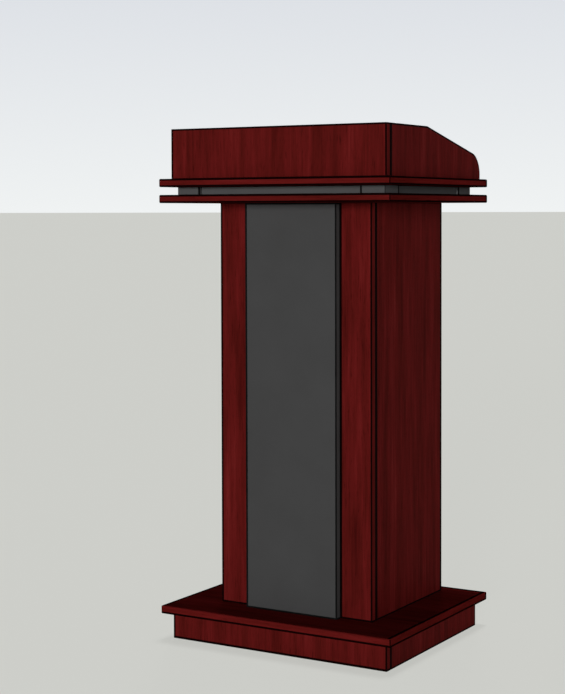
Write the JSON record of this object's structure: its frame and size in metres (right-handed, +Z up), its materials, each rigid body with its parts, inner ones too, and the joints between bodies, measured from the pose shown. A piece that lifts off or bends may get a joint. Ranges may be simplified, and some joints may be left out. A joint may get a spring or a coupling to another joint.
{
  "type": "wooden pulpit",
  "caption": "Standing wooden pulpit: plinth, box column with a grey front panel, spaced top boards and a sloping reading desk between shaped cheeks, open at the back over a shelf.",
  "frame": {"origin": "on the floor, under the centre of the top boards", "axes": "+X to the right seen from the front, +Y towards the speaker, +Z up"},
  "size_m": [0.604, 0.5, 1.19],
  "materials": {
    "mahogany": "red mahogany veneer, satin lacquer, darker glaze on the edges",
    "charcoal": "charcoal grey matt paint on fibreboard",
    "softwood": "planed, unfinished",
    "beech": "plain turned dowel",
    "zinc": "bright zinc plate",
    "nylon": "plain moulded nylon"
  },
  "bodies": {
    "root": {"plinth_front": "mahogany", "plinth_back": "mahogany", "plinth_left": "mahogany", "plinth_right": "mahogany", "base_board": "mahogany", "column_front": "mahogany", "column_left": "mahogany", "column_right": "mahogany", "column_shelf": "mahogany", "rear_rail": "mahogany", "lower_top_board": "mahogany", "upper_top_board": "mahogany", "desk_front": "mahogany", "desk_cheek_left": "mahogany", "desk_cheek_right": "mahogany", "crown_board": "mahogany", "reading_board": "mahogany", "book_stop": "mahogany", "desk_apron": "mahogany", "accent_panel": "charcoal", "spacer_front": "charcoal", "spacer_back": "charcoal", "spacer_left": "charcoal", "spacer_right": "charcoal", "spacer_block_front_left": "charcoal", "spacer_block_front_right": "charcoal", "spacer_block_back_left": "charcoal", "spacer_block_back_right": "charcoal", "plinth_corner_blocks": "softwood", "shelf_cleat_left": "softwood", "shelf_cleat_right": "softwood", "foot_cleat_left": "softwood", "foot_cleat_right": "softwood", "head_cleat_left": "softwood", "head_cleat_right": "softwood", "desk_cleat_left": "softwood", "desk_cleat_right": "softwood", "crown_ledger_left": "softwood", "crown_ledger_right": "softwood", "reading_ledger_left": "softwood", "reading_ledger_right": "softwood", "plinth_dowels": "beech", "column_dowels": "beech", "neck_dowels": "beech", "desk_dowels": "beech", "block_screws": "zinc", "column_screws": "zinc", "accent_screws": "zinc", "desk_screws": "zinc", "floor_glides": "nylon"}
  },
  "joints": []
}
